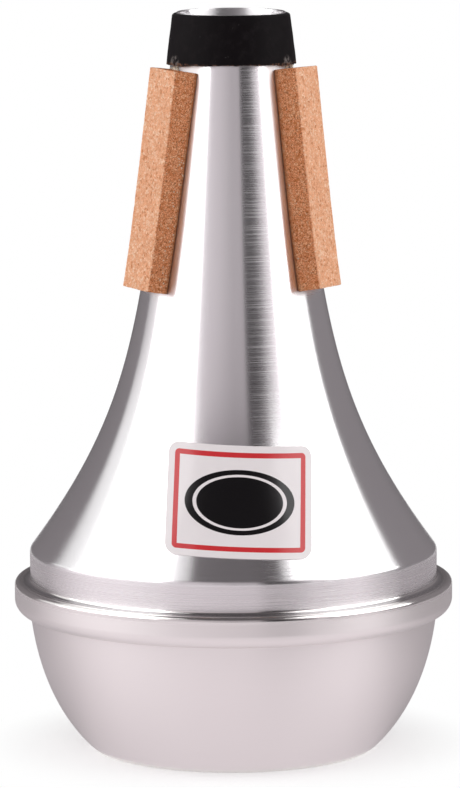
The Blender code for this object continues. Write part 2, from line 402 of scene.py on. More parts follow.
# Painted shadow and light for the cards round the foot. They are darker behind and beside the mute, where its
# shadow falls on the table, and brighter towards the lamps. Only the metal sees them.
TABLE_NEAR_SHADE_STOPS = (
    (-180, 0.34), (-100, 0.36), (-90, 0.42), (-80, 0.5), (-65, 0.62), (-45, 0.72), (-20, 0.79), (0, 0.8),
    (20, 0.79), (45, 0.72), (65, 0.6), (80, 0.46), (90, 0.36), (100, 0.33), (180, 0.33),
)
TABLE_MIDDLE_SHADE_STOPS = (
    (-180, 0.4), (-130, 0.46), (-108, 0.54), (-90, 0.64), (-75, 0.78), (-58, 0.88), (-30, 0.88), (0, 0.88),
    (20, 0.84), (50, 0.88), (65, 0.82), (85, 0.64), (108, 0.5), (130, 0.42), (180, 0.4),
)
TABLE_FAR_SHADE_STOPS = (
    (-180, 0.42), (-150, 0.42), (-130, 0.42), (-110, 0.66), (-85, 0.92), (-65, 0.88), (-40, 0.74), (0, 0.77),
    (20, 0.64), (38, 0.56), (65, 0.78), (80, 0.54), (100, 0.38), (130, 0.36), (180, 0.4),
)
OVERHEAD_SHADE = 0.115
OVERHEAD_HEIGHT = 2.05
OVERHEAD_RIM = (
    (-180, 1.3), (-165, 1.15), (-150, 0.9), (-120, 0.8), (-90, 0.78), (-75, 0.88), (-60, 1.05),
    (-50, 1.45), (-40, 1.72), (0, 1.6), (35, 1.68), (45, 1.25), (65, 0.8), (90, 0.7), (120, 0.75),
    (150, 0.86), (165, 1.15), (180, 1.3),
)

paint = card_material()


def bent_card(name, low, low_reach, low_stops, high, high_reach, high_stops):
    """A card whose edges each keep one height and one distance from the axis."""
    low_edge = [(azimuth, low_reach, shade) for azimuth, shade in low_stops]
    high_edge = [(azimuth, high_reach, shade) for azimuth, shade in high_stops]
    card(name, (low, low_edge), (high, high_edge), paint)


bent_card("card_front_low", 0.0, 1.0, FRONT_STOPS, 0.76, 1.0, FRONT_STOPS)
bent_card("card_front_high", 0.76, 1.0, FRONT_STOPS, 0.88, 1.0, FRONT_HIGH_STOPS)
bent_card("card_front_top", 0.88, 1.0, FRONT_HIGH_STOPS, 1.36, 1.0, FRONT_TOP_STOPS)
bent_card("card_behind_left", 0.0, 0.8, LEFT_STOPS, 0.685, 0.8, LEFT_STOPS)
bent_card("card_behind_right", 0.0, 0.8, RIGHT_FOOT_STOPS, 0.685, 0.8, RIGHT_TOP_STOPS)
bent_card("card_low_left", 0.0, 0.7, LOW_LEFT_STOPS, 0.22, 0.7, LOW_LEFT_STOPS)
bent_card("card_low_right", 0.0, 0.7, LOW_RIGHT_STOPS, 0.22, 0.7, LOW_RIGHT_STOPS)
# These cards carry the table's painted shadow and light round the foot.
bent_card("card_table_shade_near", 0.001, 0.05, TABLE_NEAR_SHADE_STOPS, 0.001, 0.12, TABLE_MIDDLE_SHADE_STOPS)
bent_card("card_table_shade_far", 0.001, 0.12, TABLE_MIDDLE_SHADE_STOPS, 0.001, 0.60, TABLE_FAR_SHADE_STOPS)
overhead_rim = [(azimuth, reach, OVERHEAD_SHADE) for azimuth, reach in OVERHEAD_RIM]
overhead_middle = [(azimuth, 0.001, OVERHEAD_SHADE) for azimuth, reach in OVERHEAD_RIM]
card("card_overhead", (OVERHEAD_HEIGHT, overhead_middle), (OVERHEAD_HEIGHT, overhead_rim), paint)

# %% [markdown]
# ## Outlines
# Everything round on a mute is turned on a lathe, so one outline, a line of radii and heights, holds
# the whole shape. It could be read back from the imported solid, but that has only a few points on each
# curve. The sizes are repeated here instead, and the curves are worked out again with many more
# points. The bead's top is drawn finer than in the solid: a narrow gutter runs round between the
# skirt and the bead, and splits the light there into two lines.

# %% Arcs and long curves


def arc(centre, radius, start, end, steps):
    """Points of (radius, height) on a round, from one angle to another."""
    points = []
    for step in range(steps + 1):
        angle = start + (end - start) * step / steps
        points.append((centre[0] + radius * math.cos(angle), centre[1] + radius * math.sin(angle)))
    return points


def sweep(start, start_pull, end_pull, end, steps):
    """Points of (radius, height) on a smooth curve led by two pulls."""
    points = []
    for step in range(steps + 1):
        t = step / steps
        shares = ((1 - t) ** 3, 3 * t * (1 - t) ** 2, 3 * t * t * (1 - t), t ** 3)
        leads = (
            start,
            (start[0] + start_pull[0], start[1] + start_pull[1]),
            (end[0] + end_pull[0], end[1] + end_pull[1]),
            end,
        )
        radius = sum(share * lead[0] for share, lead in zip(shares, leads))
        height = sum(share * lead[1] for share, lead in zip(shares, leads))
        points.append((radius, height))
    return points


# %% Sizes of the spun shells
SHEET = 1.0 * MM
SKIRT_RADIUS = 69.7 * MM
SKIRT_STRAIGHT = 8.3 * MM
SKIRT_TOP_ROUND = 3.0 * MM
SKIRT_CURL_END = math.radians(-25)
FLARE_SLOPE = math.radians(53.7)
FLARE_FOOT_PULL = 64.3 * MM
FLARE_NECK_PULL = 103.8 * MM
NECK_RADIUS = 18.4 * MM
NECK_TAPER = 0.131
NECK_RIM_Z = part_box("cone_shell")[1].z

BOWL_HEIGHT = 47.0 * MM
BASE_FLAT_RADIUS = 47.6 * MM
BASE_CORNER_ROUND = 2.5 * MM
BASE_CORNER_TURN = math.radians(43)
BOWL_RIM_LEAN = math.radians(6)
BOWL_FOOT_PULL = 15.0 * MM
BOWL_RIM_PULL = 20.3 * MM
BEAD_FOOT_ROUND = 4.6 * MM
BEAD_TOP_ROUND = 1.7 * MM
BEAD_TOP_DROP = 1.2 * MM
GUTTER_ROUND = 1.8 * MM
GUTTER_TILT = math.radians(16)
BEAD_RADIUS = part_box("base_bowl")[1].x
BEAD_TOP_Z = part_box("base_bowl")[1].z
CURL_GAP = 0.3 * MM
LIP_SINK = 0.05 * MM

SKIRT_ROUND_Z = BEAD_TOP_Z + SKIRT_STRAIGHT
BEAD_FOOT_CENTRE = (BEAD_RADIUS - BEAD_FOOT_ROUND, BOWL_HEIGHT + BEAD_FOOT_ROUND)
print("bead:", round(BEAD_RADIUS * 2 / MM, 1), "mm across, rim of the neck at", round(NECK_RIM_Z / MM, 1), "mm")

# %% Outline of the cone
FLARE_STEPS = 90
RIM_POINTS = 4


def skirt_round(steps):
    """Round between the flare and the straight skirt, from the flare down."""
    centre = (SKIRT_RADIUS - SKIRT_TOP_ROUND, SKIRT_ROUND_Z)
    return arc(centre, SKIRT_TOP_ROUND, UP - FLARE_SLOPE, 0.0, steps)


def flare_outline(steps):
    """Outside of the flare, from the rim of the neck down to the skirt's round."""
    run = math.hypot(NECK_TAPER, 1.0)
    neck_pull = (FLARE_NECK_PULL * NECK_TAPER / run, -FLARE_NECK_PULL / run)
    foot_pull = (-FLARE_FOOT_PULL * math.cos(FLARE_SLOPE), FLARE_FOOT_PULL * math.sin(FLARE_SLOPE))
    return sweep((NECK_RADIUS, NECK_RIM_Z), neck_pull, foot_pull, skirt_round(1)[0], steps)


def cone_outline():
    """Outside of the cone, from the rim of the neck down to the foot's curl."""
    curl_radius = BEAD_FOOT_ROUND - SHEET - CURL_GAP - SHEET
    foot_z = BEAD_FOOT_CENTRE[1] - curl_radius
    neck = flare_outline(FLARE_STEPS * 8)[:RIM_POINTS * 8:2]
    outline = neck + flare_outline(FLARE_STEPS)[RIM_POINTS:-1] + skirt_round(12)
    outline += [(SKIRT_RADIUS, SKIRT_ROUND_Z + (foot_z - SKIRT_ROUND_Z) * step / 12) for step in range(1, 13)]
    return outline + arc(BEAD_FOOT_CENTRE, curl_radius, DOWN, SKIRT_CURL_END, 8)


# %% Outline of the bowl
BOWL_STEPS = 48


def bowl_outline():
    """Outside of the bowl, from its lip on the skirt over the bead down to the base."""
    tilt = GUTTER_TILT
    top_centre = (BEAD_RADIUS - BEAD_TOP_ROUND, BEAD_TOP_Z - BEAD_TOP_DROP - BEAD_TOP_ROUND)
    bead_top = arc(top_centre, BEAD_TOP_ROUND, UP + tilt, 0.0, 16)
    hollow_radius = SKIRT_RADIUS - LIP_SINK + GUTTER_ROUND
    slope_run = bead_top[0][0] - hollow_radius - GUTTER_ROUND * math.sin(tilt)
    hollow_z = bead_top[0][1] - slope_run * math.tan(tilt) + GUTTER_ROUND * math.cos(tilt)
    outline = arc((hollow_radius, hollow_z), GUTTER_ROUND, 2 * DOWN, DOWN + tilt, 14) + bead_top
    face_high, face_low = top_centre[1], BEAD_FOOT_CENTRE[1]
    outline += [(BEAD_RADIUS, face_high + (face_low - face_high) * step / 6) for step in range(1, 6)]
    outline += arc(BEAD_FOOT_CENTRE, BEAD_FOOT_ROUND, 0.0, DOWN, 18)

    crease = (SKIRT_RADIUS, BOWL_HEIGHT)
    corner_centre = (BASE_FLAT_RADIUS, BASE_CORNER_ROUND)
    corner = arc(corner_centre, BASE_CORNER_ROUND, DOWN + BASE_CORNER_TURN, DOWN, 8)
    rim_pull = (-BOWL_RIM_PULL * math.sin(BOWL_RIM_LEAN), -BOWL_RIM_PULL * math.cos(BOWL_RIM_LEAN))
    foot_pull = (BOWL_FOOT_PULL * math.cos(BASE_CORNER_TURN), BOWL_FOOT_PULL * math.sin(BASE_CORNER_TURN))
    outline += sweep(crease, rim_pull, foot_pull, corner[0], BOWL_STEPS)[:-1] + corner
    outline += [(BASE_FLAT_RADIUS * (1 - step / 6), 0.0) for step in range(1, 7)]
    return outline


# %% [markdown]
# ## Turning the shells
# On the lathe a disc of aluminium is pressed over a form as it turns. In Blender the Screw modifier
# does the same with an outline, and Solidify gives the sheet its thickness. Spinning with bmesh would
# also work. The modifiers were chosen because the outline stays easy to change. Their result is
# taken as a mesh, so that its real edges can be marked sharp and the rest shaded smooth. Then the
# mouth's inside edge is opened and the neck drawn in below it, as on a rim that was trimmed by hand.

# %% Turn an outline
SPIN_STEPS = 288
SHARP_EDGE = math.radians(34)
BEVELLED_EDGE = math.radians(60)
MERGE_DISTANCE = 0.01 * MM


def settle(item):
    """Take the modifiers' result as the piece's own mesh."""
    graph = bpy.context.evaluated_depsgraph_get()
    mesh = bpy.data.meshes.new_from_object(item.evaluated_get(graph))
    item.modifiers.clear()
    item.data = mesh
    return mesh


def shade_smooth(mesh, sharp_edge):
    """Shade a mesh smooth, but keep its real edges."""
    mesh.shade_smooth()
    mesh.set_sharp_from_angle(angle=sharp_edge)


def turn(name, outline, material, sheet=0.0, closed=False, edge_round=0.0):
    """A piece turned round the Z axis from its outline at +X."""
    count = len(outline)
    edges = [(index, index + 1) for index in range(count - 1)]
    if closed:
        edges.append((count - 1, 0))
    mesh = bpy.data.meshes.new(name)
    mesh.from_pydata([(radius, 0.0, height) for radius, height in outline], edges, [])
    item = new_object(name, mesh, material)
    screw = item.modifiers.new("Turn", "SCREW")
    screw.steps = screw.render_steps = SPIN_STEPS
    screw.use_merge_vertices = True
    screw.merge_threshold = MERGE_DISTANCE
    if sheet:
        solidify = item.modifiers.new("Sheet", "SOLIDIFY")
        solidify.thickness = sheet
        solidify.offset = -1.0
        solidify.use_even_offset = True
    if edge_round:
        bevel = item.modifiers.new("Edges", "BEVEL")
        bevel.width = edge_round
        bevel.segments = 3
        bevel.limit_method = "ANGLE"
        bevel.angle_limit = BEVELLED_EDGE
    shade_smooth(settle(item), SHARP_EDGE)
    return item


def dress(piece, node):
    """Let a piece stand for a solid: attach it to the mute's body and hide the solid."""
    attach(piece, "root")
    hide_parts(node)
    print(piece.name, "stands for", node, "with", len(piece.data.polygons), "faces")


# %% [markdown]
# ## Brushed aluminium
# A spun shell is finished with abrasive while it turns. That leaves fine grooves round the axis, so
# a highlight stays crisp round the shell and smears along its height, and faint lines show where
# light meets dark. An image of scratches could be wrapped round it, but its seam would show. Here
# noise that is squeezed along the outline makes lines of duller metal, and an anisotropic gloss smears
# the light. The lines are plainer on one worn side. The skirt is duller than the flare, and so is the
# metal beside the strips, where glue was wiped off. The skirt's colour is also darker, as painted
# shade, and painted shade darkens the bottom of the gutter by the bead.

# %% Metal finish
ALUMINIUM = (0.90, 0.885, 0.895)
# Painted shade: the skirt's colour is darker than the flare's, though both are the same sheet.
SKIRT_PAINTED_SHADE = (0.80, 0.775, 0.785)
SATIN_ALUMINIUM = (0.84, 0.81, 0.80)
# Painted shade for the bottom of the gutter by the bead.
GUTTER_PAINTED_SHADE = (0.50, 0.485, 0.49)
GUTTER_INNER = (SKIRT_RADIUS + 0.15 * MM, SKIRT_RADIUS + 0.60 * MM)
GUTTER_OUTER = (SKIRT_RADIUS + 1.7 * MM, SKIRT_RADIUS + 2.8 * MM)
LINES_PER_METRE = 2800.0
LINE_LENGTH_PER_METRE = 7.0
SCRATCHES_PER_METRE = 4200.0
SCRATCH_LENGTH_PER_METRE = 120.0
GROOVE_DEPTH = 0.0003 * MM
WORN_AZIMUTHS = (math.radians(7), math.radians(26))
WORN_EDGE = math.radians(3)
LINE_CONTRAST = (0.49, 0.69)
SCRATCH_SHARE = 0.5
WIPED_ROUGHNESS = 0.24
WIPED_ACROSS = (8.3 * MM, 12.0 * MM)
WIPED_HEIGHTS = (NECK_RIM_Z - 95.5 * MM, NECK_RIM_Z - 91.0 * MM)
STRIP_AZIMUTHS = (math.radians(-60), math.radians(60), math.radians(180))


def groove_noise(tree, slope, round_scale, along_scale, detail):
    """Noise that runs slowly round the axis and fast along the outline, from 0 to 1."""
    parts = parts_of(tree, object_place(tree))
    along = maths(tree, "ADD", parts["Z"], times(tree, flat_length(tree, parts["X"], parts["Y"]), slope))
    scaled = {
        0: times(tree, parts["X"], round_scale),
        1: times(tree, parts["Y"], round_scale),
        2: times(tree, along, along_scale),
    }
    return noise_at(tree, add(tree, "ShaderNodeCombineXYZ", scaled).outputs[0], 1.0, detail, 0.65)


def worn_side(tree):
    """1 on the worn side and 0 away from it."""
    parts = parts_of(tree, object_place(tree))
    azimuth = maths(tree, "ARCTAN2", parts["X"], times(tree, parts["Y"], -1.0))
    return band(tree, azimuth, *WORN_AZIMUTHS, WORN_EDGE)


def wiped_bands(tree):
    """1 beside the cork strips, where glue was wiped off, and 0 away from them."""
    place = object_place(tree)
    wiped = 0.0
    for azimuth in STRIP_AZIMUTHS:
        sideways = vector_value(tree, "DOT_PRODUCT", place, direction(azimuth + UP))
        near = fade(tree, maths(tree, "ABSOLUTE", sideways), *WIPED_ACROSS)
        outwards = vector_value(tree, "DOT_PRODUCT", place, direction(azimuth))
        wiped = maths(tree, "MAXIMUM", wiped, times(tree, near, maths(tree, "GREATER_THAN", outwards, 0.0)))
    return times(tree, wiped, span(tree, parts_of(tree, place)["Z"], *WIPED_HEIGHTS))


def brushed_metal(name, slope, gloss, colours, change, line_gloss, anisotropy):
    """Aluminium with grooves round the axis. Slope is -1 on a flare and 1 on a bowl.

    The gloss gives the roughness, and the colours the colour, below and above the heights of the
    change. Line gloss is how much rougher the lines are than the metal between them, away from the
    worn side and on it.
    """
    material, tree, shader = new_material(name)
    height = parts_of(tree, object_place(tree))["Z"]
    lines = groove_noise(tree, slope, LINE_LENGTH_PER_METRE, LINES_PER_METRE, 3.0)
    scratches = groove_noise(tree, slope, SCRATCH_LENGTH_PER_METRE, SCRATCHES_PER_METRE, 2.0)
    strength = span(tree, worn_side(tree), 0.0, 1.0, *line_gloss)
    wear = maths(tree, "ADD", times(tree, span(tree, lines, *LINE_CONTRAST), strength), 1.0)
    rough = times(tree, span(tree, height, *change, *gloss), wear)
    grooves = maths(tree, "ADD", lines, times(tree, scratches, SCRATCH_SHARE))
    feed(tree, shader, {
        "Base Color": mix_colour(tree, span(tree, height, *change), *colours),
        "Metallic": 1.0,
        "Anisotropic": anisotropy,
        "Anisotropic Rotation": 0.25,
        "Roughness": maths(tree, "ADD", rough, times(tree, wiped_bands(tree), WIPED_ROUGHNESS)),
        "Normal": relief(tree, grooves, GROOVE_DEPTH),
        "Tangent": add(tree, "ShaderNodeTangent", direction_type="RADIAL", axis="Z").outputs[0],
    })
    return material


def paint_gutter_shade(material):
    """Paint shade on the bottom of the gutter between the skirt and the bead, where the crease lies."""
    tree = material.node_tree
    parts = parts_of(tree, object_place(tree))
    radius = flat_length(tree, parts["X"], parts["Y"])
    bottom = times(tree, span(tree, radius, *GUTTER_INNER), fade(tree, radius, *GUTTER_OUTER))
    share = times(tree, bottom, maths(tree, "GREATER_THAN", parts["Z"], BEAD_FOOT_CENTRE[1]))
    # The gutter's bottom is painted darker: painted shade in the crease.
    darkened = mix_colour(tree, share, SATIN_ALUMINIUM, GUTTER_PAINTED_SHADE)
    feed(tree, tree.nodes["Principled BSDF"], {"Base Color": darkened})


skirt_edge = (SKIRT_ROUND_Z - 0.5 * MM, SKIRT_ROUND_Z + 0.5 * MM)
bead_edge = (BEAD_TOP_Z - 4.0 * MM, BEAD_TOP_Z - 2.6 * MM)
# On the cone the colour below the skirt's round is painted shade. The rougher gloss there is real.
cone_metal = brushed_metal(
    "brushed_aluminium", -1.0, (0.27, 0.215), (SKIRT_PAINTED_SHADE, ALUMINIUM), skirt_edge, (0.15, 0.80), 0.90
)
bowl_metal = brushed_metal(
    "satin_aluminium", 1.0, (0.33, 0.16), (SATIN_ALUMINIUM, SATIN_ALUMINIUM), bead_edge, (0.15, 0.20), 0.75
)
paint_gutter_shade(bowl_metal)

# %% Turn the cone and the bowl
RIM_TURN = 3.0 * MM
RIM_CHAMFER = 0.30 * MM
RIM_NARROWING = 0.35 * MM
RIM_EDGE_ROUND = 0.2 * MM


def turn_rim_in(mesh):
    """Open the inside edge of the mouth and narrow the neck a little below it."""
    for vertex in mesh.vertices:
        below = NECK_RIM_Z - vertex.co.z
        radius = math.hypot(vertex.co.x, vertex.co.y)
        outside = NECK_RADIUS + NECK_TAPER * below
        if below > RIM_TURN * 2 or outside - radius < SHEET * 0.6:
            continue
        turned = below / RIM_TURN
        if turned < 1.0:
            change = RIM_CHAMFER - (RIM_CHAMFER + RIM_NARROWING) * turned
        else:
            change = -RIM_NARROWING * (2.0 - turned)
        vertex.co.x *= 1.0 + change / radius
        vertex.co.y *= 1.0 + change / radius


spun_cone = turn("spun_cone", cone_outline(), cone_metal, sheet=SHEET, edge_round=RIM_EDGE_ROUND)
turn_rim_in(spun_cone.data)
dress(spun_cone, "cone_shell")
spun_bowl = turn("spun_bowl", bowl_outline(), bowl_metal, sheet=SHEET)
dress(spun_bowl, "base_bowl")

# %% [markdown]
# ## Checking the outlines
# The shells are drawn from sizes that are repeated here, and a slip in one of them would set the
# picture beside the solid. Two renders could be laid over each other. Measuring is surer: every point
# of a packed shell is brought down to a radius and a height, and the distance to the sheet between
# the outline and its inside is taken. Only the bead's top may differ, since it is drawn finer here.

# %% Compare the shells with the solids


def distance_to_line(point, line):
    """Shortest distance from a point to a line through many points."""
    shortest = math.inf
    for start, end in zip(line, line[1:]):
        run = end - start
        share = min(max((point - start).dot(run) / run.length_squared, 0.0), 1.0)
        shortest = min(shortest, (point - start - run * share).length)
    return shortest


def largest_miss(node, outline):
    """How far the solid's points lie from a sheet of the right thickness along the outline."""
    line = [Vector(point) for point in outline]
    found = set()
    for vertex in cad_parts[node].data.vertices:
        found.add((round(math.hypot(vertex.co.x, vertex.co.y), 5), round(vertex.co.z, 5)))
    distances = [distance_to_line(Vector(place), line) for place in found]
    return max(min(away, abs(away - SHEET)) for away in distances)


for node, outline in (("cone_shell", cone_outline()), ("base_bowl", bowl_outline())):
    print(node, "is within", round(largest_miss(node, outline) / MM, 2), "mm of the outline")

# %% [markdown]
# ## Following the flare
# The collar, the strips and the label all sit on the flare, so each needs the flare's radius at a
# height, and how fast it widens there. A ray cast onto the turned mesh would give both. Reading them
# from the outline is exact and quick, and keeps every piece on the same curve.

# %% Read the flare
READING = flare_outline(400)[::-1]
READING_HEIGHTS = [height for radius, height in READING]


def flare_at(height):
    """Outside radius of the flare at a height, and how fast it widens downwards."""
    index = min(max(bisect.bisect_left(READING_HEIGHTS, height), 1), len(READING) - 1)
    lower, upper = READING[index - 1], READING[index]
    widening = (lower[0] - upper[0]) / (upper[1] - lower[1])
    return upper[0] + widening * (upper[1] - height), widening


def flare_from_foot(distance):
    """Point and outward direction on the flare, at a distance up from its foot."""
    travelled = 0.0
    for lower, upper in zip(READING, READING[1:]):
        length = math.dist(lower, upper)
        if travelled + length >= distance:
            break
        travelled += length
    share = (distance - travelled) / length
    along = Vector((upper[0] - lower[0], upper[1] - lower[1])) / length
    point = Vector(lower) + along * share * length
    return point, Vector((along.y, -along.x))


print("flare radius at 150 mm up:", round(flare_at(150 * MM)[0] / MM, 1), "mm")

# %% [markdown]
# ## The rubber collar
# A sleeve cut from black rubber tube is stretched over the neck and keeps the metal rim from rattling
# in the bell. Its cut foot is never quite even, and its front sits a little higher than its back. It
# could be a plain tube with a bumpy material, but its edges show against the bright metal, so the
# turned sleeve's points are really moved.

# %% Turn the collar
COLLAR_TOP_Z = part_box("neck_collar")[1].z
COLLAR_FOOT_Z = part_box("neck_collar")[0].z
COLLAR_WALL = 1.45 * MM
COLLAR_SEAT = 0.04 * MM
SHOULDER_ROUND = 1.0 * MM
COLLAR_ROWS = 26
RAGGED = 0.35 * MM
FOOT_BAND = 4.0 * MM
FOOT_WAVES = 3.0
FOOT_NICKS = 14.0
NICK_SHARE = 0.6
FOOT_RISE = 0.35
DENT = 0.06 * MM
DENT_SIZE = 3.5 * MM
DENT_INWARDS = 0.3
FRONT_LIFT = 0.48 * MM
SIDE_DROP = 0.9 * MM


def collar_section():
    """Closed section of the collar: across its top, down outside, and up inside."""
    shoulder_z = COLLAR_TOP_Z - SHOULDER_ROUND
    radius, widening = flare_at(shoulder_z)
    lean = math.atan(widening)
    centre = (radius + COLLAR_WALL - SHOULDER_ROUND / math.cos(lean), shoulder_z)
    section = [(flare_at(COLLAR_TOP_Z)[0] + COLLAR_SEAT, COLLAR_TOP_Z)]
    section += arc(centre, SHOULDER_ROUND, UP, lean, 8)
    side_top = section[-1][1]
    for row in range(1, COLLAR_ROWS + 1):
        height = side_top + (COLLAR_FOOT_Z - side_top) * row / COLLAR_ROWS
        section.append((flare_at(height)[0] + COLLAR_WALL, height))
    for row in range(COLLAR_ROWS):
        height = COLLAR_FOOT_Z + (COLLAR_TOP_Z - COLLAR_FOOT_Z) * row / COLLAR_ROWS
        section.append((flare_at(height)[0] + COLLAR_SEAT, height))
    return section


def make_ragged(mesh):
    """Make the foot uneven and lower at the sides, dent the outside, and lift the front to the rim."""
    for vertex in mesh.vertices:
        place = vertex.co
        outwards = Vector((place.x, place.y, 0.0)).normalized()
        near_foot = max(0.0, 1.0 - (place.z - COLLAR_FOOT_Z) / FOOT_BAND)
        wander = noise.noise(outwards * FOOT_WAVES) + NICK_SHARE * noise.noise(outwards * FOOT_NICKS)
        depth = math.hypot(place.x, place.y) - flare_at(place.z)[0]
        if depth > COLLAR_WALL * 0.6:
            vertex.co += outwards * DENT * (noise.noise(place / DENT_SIZE) - DENT_INWARDS)
        near_top = max(0.0, (place.z - COLLAR_FOOT_Z) / (COLLAR_TOP_Z - COLLAR_FOOT_Z))
        in_front = max(0.0, -outwards.y)
        foot_move = RAGGED * (wander + FOOT_RISE) - SIDE_DROP * outwards.x ** 2
        vertex.co.z += near_foot ** 2 * foot_move + near_top * in_front * FRONT_LIFT


# %% [markdown]
# ## Rubber
# The rubber is almost black and matt, with a faint bloom in patches and a few dust specks. Glue left
# pale smears over the strips, and its foot has a tan line. A black colour alone would look like a hole
# in the picture. A fine grain in the bump and layers of noise in the colour give the eye something
# to hold, and low specular keeps the white room off it.

# %% Rubber finish
RUBBER_BLACK = (0.0055, 0.0040, 0.0048)
RUBBER_BLOOM = (0.0115, 0.0090, 0.0100)
RUBBER_DUST = (0.060, 0.055, 0.055)
RUBBER_SMEAR = (0.15, 0.135, 0.13)
SMEARS = ((math.radians(-64), 3.6 * MM), (math.radians(58), 3.4 * MM), (math.radians(170), 3.6 * MM))
RUBBER_FOOT = (0.16, 0.085, 0.055)
RUBBER_GRAIN = 0.03 * MM
FOOT_LINE = (COLLAR_FOOT_Z + 0.15 * MM, COLLAR_FOOT_Z + 0.6 * MM)


def rubber():
    """Black rubber with bloom, a little dust, smears of glue and a tan foot."""
    material, tree, shader = new_material("black_rubber")
    place = object_place(tree)
    bloom = span(tree, noise_at(tree, place, 260.0, 4.0, 0.65), 0.45, 0.75)
    dust = span(tree, noise_at(tree, place, 900.0), 0.74, 0.80)
    colour = mix_colour(tree, dust, mix_colour(tree, bloom, RUBBER_BLACK, RUBBER_BLOOM), RUBBER_DUST)
    ragged = span(tree, noise_at(tree, place, 800.0, 3.0, 0.6), 0.42, 0.62)
    for azimuth, tall in SMEARS:
        foot = direction(azimuth) * (flare_at(COLLAR_FOOT_Z)[0] + COLLAR_WALL)
        foot.z = COLLAR_FOOT_Z
        near = fade(tree, vector_value(tree, "DISTANCE", place, foot), tall * 0.5, tall)
        colour = mix_colour(tree, times(tree, near, ragged), colour, RUBBER_SMEAR)
    foot_line = fade(tree, parts_of(tree, place)["Z"], *FOOT_LINE)
    broken = span(tree, noise_at(tree, place, 1100.0, 3.0, 0.6), 0.48, 0.60)
    feed(tree, shader, {
        "Base Color": mix_colour(tree, times(tree, foot_line, broken), colour, RUBBER_FOOT),
        "Normal": relief(tree, noise_at(tree, place, 2600.0, 3.0, 0.7), RUBBER_GRAIN),
        "Roughness": span(tree, bloom, 0.0, 1.0, 0.52, 0.68),
        "Specular IOR Level": 0.05,
    })
    return material


neck_sleeve = turn("neck_sleeve", collar_section(), rubber(), closed=True)
make_ragged(neck_sleeve.data)
dress(neck_sleeve, "neck_collar")

# %% [markdown]
# ## The cork strips
# Each strip is a bar of pressed cork, glued to the flare and hollowed to fit it. Cutting a plain bar
# with the cone would give the shape, but a cut leaves long thin faces that can't carry any grain. So
# a cube is divided into small even squares, and each of its points is carried to its place: across
# the strip, along the flare, and out from the metal.

# %% Sizes of the strips
STRIP_WIDTH = 16.0 * MM
STRIP_THICKNESS = 7.0 * MM
STRIP_LENGTH = 74.2 * MM
STRIP_COLLAR_GAP = 2.0 * MM
STRIP_LEAN = math.radians(1.6)
STRIP_SOLID_GAP = 0.3 * MM
STRIP_SEAT = 0.05 * MM
SEAT_CORRECTIONS = 4
STRIP_EDGE_ROUND = 0.30 * MM
# Width of the painted shade along the strip's joint with the metal.
JOINT_SHADE_WIDTH = 1.1 * MM
STRIP_SHARP_EDGE = math.radians(60)
GLUED_FROM = STRIP_THICKNESS * 0.46
STRIPS = (
    ("left", math.radians(-60), 0.2 * MM),
    ("right", math.radians(60), -0.2 * MM),
    ("rear", math.radians(180), 0.0),
)

# %% Divide a cube into small squares
STRIP_SQUARES = {0: 40, 1: 16, 2: 168}


def divided_cube(counts):
    """A cube from -1 to 1 whose sides are divided, by a count for each direction."""
    work = bmesh.new()
    bmesh.ops.create_cube(work, size=2.0)
    for axis, count in counts.items():
        edges = []
        for edge in work.edges:
            run = edge.verts[1].co - edge.verts[0].co
            if abs(run[axis]) > 1.9:
                edges.append(edge)
        bmesh.ops.subdivide_edges(work, edges=edges, cuts=count - 1)
    return work


def rounded(point, half, radius):
    """Pull a point of a box in, so that the box has round edges."""
    core = Vector([min(max(value, radius - size), size - radius) for value, size in zip(point, half)])
    away = point - core
    if away.length < 1e-9:
        return point
    return core + away.normalized() * radius


# %% Carry the points to the flare
def strip_point(across, along, depth, top_z, azimuth):
    """Place of a point of a strip. Along and depth go from 0 to 1, depth from the metal out."""
    foot_z = top_z - STRIP_LENGTH
    middle = Vector((0.0, 0.0, (top_z + foot_z) / 2))
    lean = Matrix.Translation(middle) @ Matrix.Rotation(STRIP_LEAN, 4, "Y") @ Matrix.Translation(-middle)
    height = foot_z + STRIP_LENGTH * along
    radius, widening = flare_at(height)
    out = Vector((0.0, -1.0, widening)).normalized()
    face = lean @ (Vector((across, -radius, height)) + out * (STRIP_THICKNESS + STRIP_SOLID_GAP))
    out = (lean.to_3x3() @ out).normalized()
    seat = face - out * STRIP_THICKNESS
    for correction in range(SEAT_CORRECTIONS):
        seat -= out * (math.hypot(seat.x, seat.y) - flare_at(seat.z)[0] - STRIP_SEAT)
    return Matrix.Rotation(azimuth, 3, "Z") @ (seat + (face - seat) * depth)


# %% Give the strips their grain
SWELL_SIZE = 5.0 * MM
SWELL_DEPTH = 0.05 * MM
GRANULE_SIZE = 0.95 * MM
CRACK_WIDTH = 0.22
CRACK_DEPTHS = (0.05 * MM, 0.10 * MM)
PIT_SIZE = 1.7 * MM
PIT_FROM = 0.42
PIT_DEPTHS = (0.35 * MM, 0.85 * MM)


def cork_relief(point, sawn):
    """How far the surface stands out or in. Sawn is 0 on the sanded face and 1 on the others."""
    near = noise.voronoi(point / GRANULE_SIZE)[0]
    crack = max(0.0, 1.0 - (near[1] - near[0]) / CRACK_WIDTH)
    pit = max(0.0, noise.noise(point / PIT_SIZE) - PIT_FROM)
    swell = noise.noise(point / SWELL_SIZE)
    return SWELL_DEPTH * swell - CRACK_DEPTHS[sawn] * crack - PIT_DEPTHS[sawn] * pit


